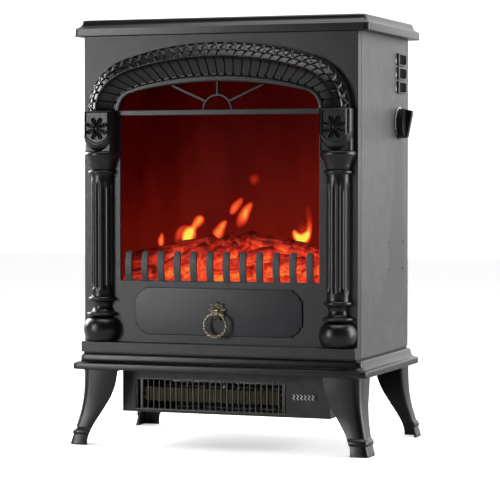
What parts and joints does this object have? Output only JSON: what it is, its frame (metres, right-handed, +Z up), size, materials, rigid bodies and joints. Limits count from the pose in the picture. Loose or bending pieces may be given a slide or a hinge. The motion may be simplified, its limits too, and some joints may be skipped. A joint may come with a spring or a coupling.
{
  "type": "electric fireplace",
  "caption": "Stove-style electric fireplace with arched window, log effect, fluted columns, cabriole legs, side controls and a fan heater under the base.",
  "frame": {"origin": "on the floor, under the middle of the whole object", "axes": "+Z up, -Y is the front with the window, +X is the side with the controls"},
  "size_m": [0.417, 0.2701, 0.5638],
  "materials": {
    "satin_black": "satin charcoal black, lightly textured",
    "cast_grey": "matt grey-black casting",
    "sheet_paint": "satin black powder coat on sheet steel",
    "grille_wire": "dark enamel on wire",
    "antique_brass": "dark antique brass",
    "window_glass": "clear",
    "zinc_steel": "zinc plated",
    "ember_resin": "translucent painted resin, lit from below",
    "screen_acrylic": "smoked flame screen",
    "liner_black": "matt black",
    "black_screws": "black zinc",
    "bright_foil": "bright foil",
    "white_nylon": "natural nylon",
    "circuit_board": "solder mask",
    "bezel_grey": "grey moulded frame",
    "black_nylon": "moulded",
    "rocker_black": "gloss moulded",
    "dial_print": "printed plate",
    "knob_black": "satin moulded",
    "element_alloy": "heat browned",
    "wheel_alloy": "plain",
    "motor_iron": "laminated steel"
  },
  "bodies": {
    "cabinet": {"arch_surround": "satin_black", "ash_panel": "satin_black", "base_plate": "satin_black", "blower_bearing": "white_nylon", "blower_motor": "motor_iron", "blower_scroll": "zinc_steel", "cabinet_floor": "sheet_paint", "case_screws": "black_screws", "cord_gland": "black_nylon", "element_frame": "zinc_steel", "ember_lamp_board": "circuit_board", "fanlight": "satin_black", "fire_fret": "cast_grey", "fire_shelf": "zinc_steel", "firebox_liner": "liner_black", "flame_lamp_board": "circuit_board", "flame_motor": "zinc_steel", "flame_screen": "screen_acrylic", "front_fascia": "satin_black", "front_left_leg": "satin_black", "front_right_leg": "satin_black", "glass_clips": "zinc_steel", "heater_case": "sheet_paint", "heating_element": "element_alloy", "knob_dial": "dial_print", "left_column": "satin_black", "left_rosette_block": "satin_black", "left_side_panel": "sheet_paint", "leg_screws": "zinc_steel", "log_bed": "ember_resin", "motor_bracket": "zinc_steel", "outlet_grille": "grille_wire", "pull_backplate": "antique_brass", "rear_cover": "sheet_paint", "rear_cover_screws": "black_screws", "rear_left_leg": "satin_black", "rear_right_leg": "satin_black", "right_column": "satin_black", "right_rosette_block": "satin_black", "right_side_panel": "sheet_paint", "rocker_bezels": "bezel_grey", "rod_bracket": "zinc_steel", "rod_bush": "white_nylon", "side_screws": "black_screws", "switch_bodies": "black_nylon", "terminal_block": "white_nylon", "thermal_cutout": "white_nylon", "thermostat_body": "white_nylon", "top_plate": "satin_black", "window_glass": "window_glass"},
    "pull": {"pull_ring": "antique_brass"},
    "rocker_a": {"rocker_flame": "rocker_black"},
    "rocker_b": {"rocker_low_heat": "rocker_black"},
    "rocker_c": {"rocker_high_heat": "rocker_black"},
    "knob": {"thermostat_knob": "knob_black", "thermostat_spindle": "zinc_steel"},
    "flame_spindle": {"flame_rod": "bright_foil"},
    "blower": {"blower_wheel": "wheel_alloy"}
  },
  "joints": [
    {"name": "ring_swing", "type": "hinge", "parent": "cabinet", "child": "pull", "pos_m": [0, -0.1216, 0.1786], "axis": [-1, 0, 0], "range_deg": [0, 80]},
    {"name": "flame_rocker", "type": "hinge", "parent": "cabinet", "child": "rocker_a", "pos_m": [0.191, 0.083, 0.5136], "axis": [0, 0, 1], "range_deg": [0, 14]},
    {"name": "low_heat_rocker", "type": "hinge", "parent": "cabinet", "child": "rocker_b", "pos_m": [0.191, 0.083, 0.495], "axis": [0, 0, 1], "range_deg": [0, 14]},
    {"name": "high_heat_rocker", "type": "hinge", "parent": "cabinet", "child": "rocker_c", "pos_m": [0.191, 0.083, 0.4764], "axis": [0, 0, 1], "range_deg": [0, 14]},
    {"name": "thermostat_turn", "type": "hinge", "parent": "cabinet", "child": "knob", "pos_m": [0.2, 0.078, 0.428], "axis": [1, 0, 0], "range_deg": [-135, 135]},
    {"name": "flame_spin", "type": "hinge", "parent": "cabinet", "child": "flame_spindle", "pos_m": [0, 0.042, 0.25], "axis": [1, 0, 0], "continuous": true},
    {"name": "blower_spin", "type": "hinge", "parent": "cabinet", "child": "blower", "pos_m": [0, -0.018, 0.071], "axis": [1, 0, 0], "continuous": true}
  ]
}
